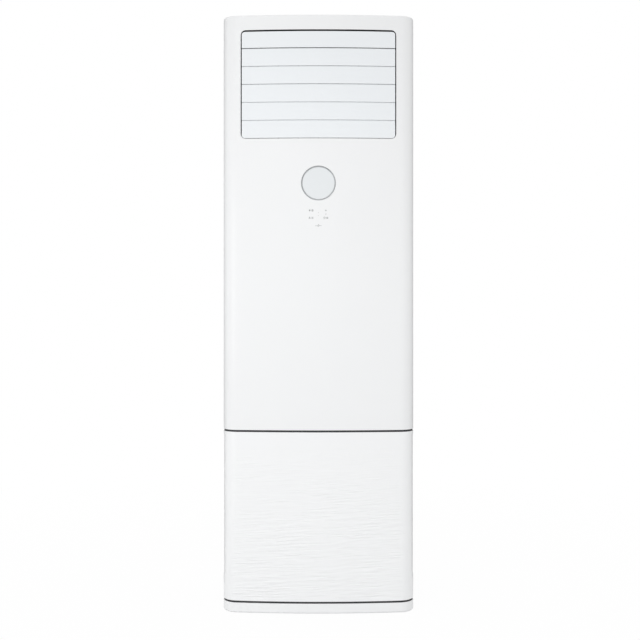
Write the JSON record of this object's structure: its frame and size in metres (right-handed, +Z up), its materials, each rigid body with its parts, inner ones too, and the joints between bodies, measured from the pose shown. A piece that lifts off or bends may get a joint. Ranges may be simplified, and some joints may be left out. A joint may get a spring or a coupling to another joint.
{
  "type": "floor standing air conditioner",
  "caption": "Tall floor-standing indoor air conditioner cabinet with bowed front, closed swing louvres at the top, round display, touch keys and rippled lower panel",
  "frame": {"origin": "Centre of the bounding box in plan, on the floor under the rubber feet", "axes": "+Z up, the bowed front faces -Y, +X is to the right of a person facing the front"},
  "size_m": [0.562, 0.38, 1.75],
  "materials": {
    "casing_plastic": "pale grey-white gloss moulding, very light orange peel",
    "ripple_panel": "pale grey-white panel with a fine horizontal ripple relief",
    "casing_sheet": "powder-coated steel sheet, pale grey-white",
    "louvre_plastic": "smooth pale plastic, slightly cooler than the casing",
    "plinth_plastic": "pale grey-white satin moulding",
    "rubber": "black rubber",
    "galvanised": "galvanised sheet steel",
    "grille_plastic": "pale grey satin plastic",
    "filter_mesh": "grey plastic frame with fine nylon mesh",
    "scroll_plastic": "grey matt plastic",
    "wheel_plastic": "dark grey glass-filled plastic",
    "motor_paint": "black enamel on pressed steel",
    "steel": "bright steel",
    "foam_tray": "pale plastic tray",
    "fin_aluminium": "coated aluminium fin stock",
    "copper": "copper tube, lightly tarnished",
    "brass_nut": "machined brass",
    "hose_plastic": "grey flexible plastic hose",
    "board": "green circuit board laminate",
    "terminal_plastic": "moulded terminal strip",
    "display_lens": "translucent pale lens, smooth gloss",
    "bezel_plastic": "satin silver-grey ring",
    "frame_plastic": "grey matt plastic",
    "vane_plastic": "dark grey plastic"
  },
  "bodies": {
    "cabinet": {"air_baffle": "galvanised", "back_plate": "galvanised", "base_pan": "galvanised", "base_plinth": "plinth_plastic", "control_box": "galvanised", "control_box_cover": "galvanised", "display_bezel": "bezel_plastic", "display_board": "board", "display_housing": "frame_plastic", "display_lens": "display_lens", "drain_hose": "hose_plastic", "drain_pan": "foam_tray", "evaporator_end_plates": "galvanised", "evaporator_fins": "fin_aluminium", "evaporator_tubes": "copper", "fan_bulkhead": "galvanised", "fan_motor": "motor_paint", "fan_scroll": "scroll_plastic", "filter_rails": "scroll_plastic", "flare_nuts": "brass_nut", "intake_grille_left": "grille_plastic", "intake_grille_right": "grille_plastic", "louvre_motor": "steel", "lower_front_panel": "ripple_panel", "main_board": "board", "motor_bracket": "galvanised", "outlet_duct": "frame_plastic", "partition_plate": "galvanised", "pipe_grommet": "rubber", "refrigerant_pipes": "copper", "rubber_feet": "rubber", "side_plate_left": "casing_sheet", "side_plate_right": "casing_sheet", "supply_gland": "wheel_plastic", "terminal_block": "terminal_plastic", "top_cover": "casing_sheet", "touch_key_board": "board", "upper_front_panel": "casing_plastic", "vane_motor": "steel", "wall_bracket": "galvanised"},
    "louvre_1": {"louvre_1": "louvre_plastic"},
    "louvre_2": {"louvre_2": "louvre_plastic"},
    "louvre_3": {"louvre_3": "louvre_plastic"},
    "louvre_4": {"louvre_4": "louvre_plastic"},
    "louvre_5": {"louvre_5": "louvre_plastic"},
    "louvre_6": {"louvre_6": "louvre_plastic"},
    "louvre_link": {"louvre_link": "vane_plastic"},
    "vane_1": {"vane_1": "vane_plastic"},
    "vane_2": {"vane_2": "vane_plastic"},
    "vane_3": {"vane_3": "vane_plastic"},
    "vane_4": {"vane_4": "vane_plastic"},
    "vane_5": {"vane_5": "vane_plastic"},
    "vane_6": {"vane_6": "vane_plastic"},
    "vane_7": {"vane_7": "vane_plastic"},
    "vane_link": {"vane_link": "vane_plastic"},
    "blower": {"blower_wheel": "wheel_plastic", "motor_shaft": "steel"},
    "filter_left": {"air_filter_left": "filter_mesh"},
    "filter_right": {"air_filter_right": "filter_mesh"}
  },
  "joints": [
    {"name": "louvre_1_swing", "type": "hinge", "parent": "cabinet", "child": "louvre_1", "pos_m": [0, -0.1705, 1.6779], "axis": [1, 0, 0], "range_deg": [0, 110]},
    {"name": "louvre_2_swing", "type": "hinge", "parent": "cabinet", "child": "louvre_2", "pos_m": [0, -0.1705, 1.6253], "axis": [1, 0, 0], "range_deg": [0, 110]},
    {"name": "louvre_3_swing", "type": "hinge", "parent": "cabinet", "child": "louvre_3", "pos_m": [0, -0.1705, 1.5727], "axis": [1, 0, 0], "range_deg": [0, 110]},
    {"name": "louvre_4_swing", "type": "hinge", "parent": "cabinet", "child": "louvre_4", "pos_m": [0, -0.1705, 1.5201], "axis": [1, 0, 0], "range_deg": [0, 110]},
    {"name": "louvre_5_swing", "type": "hinge", "parent": "cabinet", "child": "louvre_5", "pos_m": [0, -0.1705, 1.4675], "axis": [1, 0, 0], "range_deg": [0, 110]},
    {"name": "louvre_6_swing", "type": "hinge", "parent": "cabinet", "child": "louvre_6", "pos_m": [0, -0.1705, 1.4149], "axis": [1, 0, 0], "range_deg": [0, 110]},
    {"name": "louvre_link_pivot", "type": "hinge", "parent": "louvre_1", "child": "louvre_link", "pos_m": [0.2353, -0.15903, 1.66987], "axis": [1, 0, 0], "range_deg": [-110, 0]},
    {"name": "vane_1_swing", "type": "hinge", "parent": "cabinet", "child": "vane_1", "pos_m": [-0.18, -0.112, 1.5448], "axis": [0, 0, 1], "range_deg": [-35, 35]},
    {"name": "vane_2_swing", "type": "hinge", "parent": "cabinet", "child": "vane_2", "pos_m": [-0.12, -0.112, 1.5448], "axis": [0, 0, 1], "range_deg": [-35, 35]},
    {"name": "vane_3_swing", "type": "hinge", "parent": "cabinet", "child": "vane_3", "pos_m": [-0.06, -0.112, 1.5448], "axis": [0, 0, 1], "range_deg": [-35, 35]},
    {"name": "vane_4_swing", "type": "hinge", "parent": "cabinet", "child": "vane_4", "pos_m": [0, -0.112, 1.5448], "axis": [0, 0, 1], "range_deg": [-35, 35]},
    {"name": "vane_5_swing", "type": "hinge", "parent": "cabinet", "child": "vane_5", "pos_m": [0.06, -0.112, 1.5448], "axis": [0, 0, 1], "range_deg": [-35, 35]},
    {"name": "vane_6_swing", "type": "hinge", "parent": "cabinet", "child": "vane_6", "pos_m": [0.12, -0.112, 1.5448], "axis": [0, 0, 1], "range_deg": [-35, 35]},
    {"name": "vane_7_swing", "type": "hinge", "parent": "cabinet", "child": "vane_7", "pos_m": [0.18, -0.112, 1.5448], "axis": [0, 0, 1], "range_deg": [-35, 35]},
    {"name": "vane_link_pivot", "type": "hinge", "parent": "vane_1", "child": "vane_link", "pos_m": [-0.18, -0.072, 1.5448], "axis": [0, 0, 1], "range_deg": [-35, 35]},
    {"name": "blower_spin", "type": "hinge", "parent": "cabinet", "child": "blower", "pos_m": [-0.03, 0.05, 0.29], "axis": [0, 1, 0], "continuous": true},
    {"name": "filter_left_slide", "type": "slide", "parent": "cabinet", "child": "filter_left", "axis": [-1, 0, 0], "range_m": [0, 0.25]},
    {"name": "filter_right_slide", "type": "slide", "parent": "cabinet", "child": "filter_right", "axis": [1, 0, 0], "range_m": [0, 0.25]}
  ],
  "couplings": [
    {"joint": "louvre_2_swing", "follows": "louvre_1_swing", "ratio": 1},
    {"joint": "louvre_3_swing", "follows": "louvre_1_swing", "ratio": 1},
    {"joint": "louvre_4_swing", "follows": "louvre_1_swing", "ratio": 1},
    {"joint": "louvre_5_swing", "follows": "louvre_1_swing", "ratio": 1},
    {"joint": "louvre_6_swing", "follows": "louvre_1_swing", "ratio": 1},
    {"joint": "louvre_link_pivot", "follows": "louvre_1_swing", "ratio": -1},
    {"joint": "vane_2_swing", "follows": "vane_1_swing", "ratio": 1},
    {"joint": "vane_3_swing", "follows": "vane_1_swing", "ratio": 1},
    {"joint": "vane_4_swing", "follows": "vane_1_swing", "ratio": 1},
    {"joint": "vane_5_swing", "follows": "vane_1_swing", "ratio": 1},
    {"joint": "vane_6_swing", "follows": "vane_1_swing", "ratio": 1},
    {"joint": "vane_7_swing", "follows": "vane_1_swing", "ratio": 1},
    {"joint": "vane_link_pivot", "follows": "vane_1_swing", "ratio": -1}
  ]
}
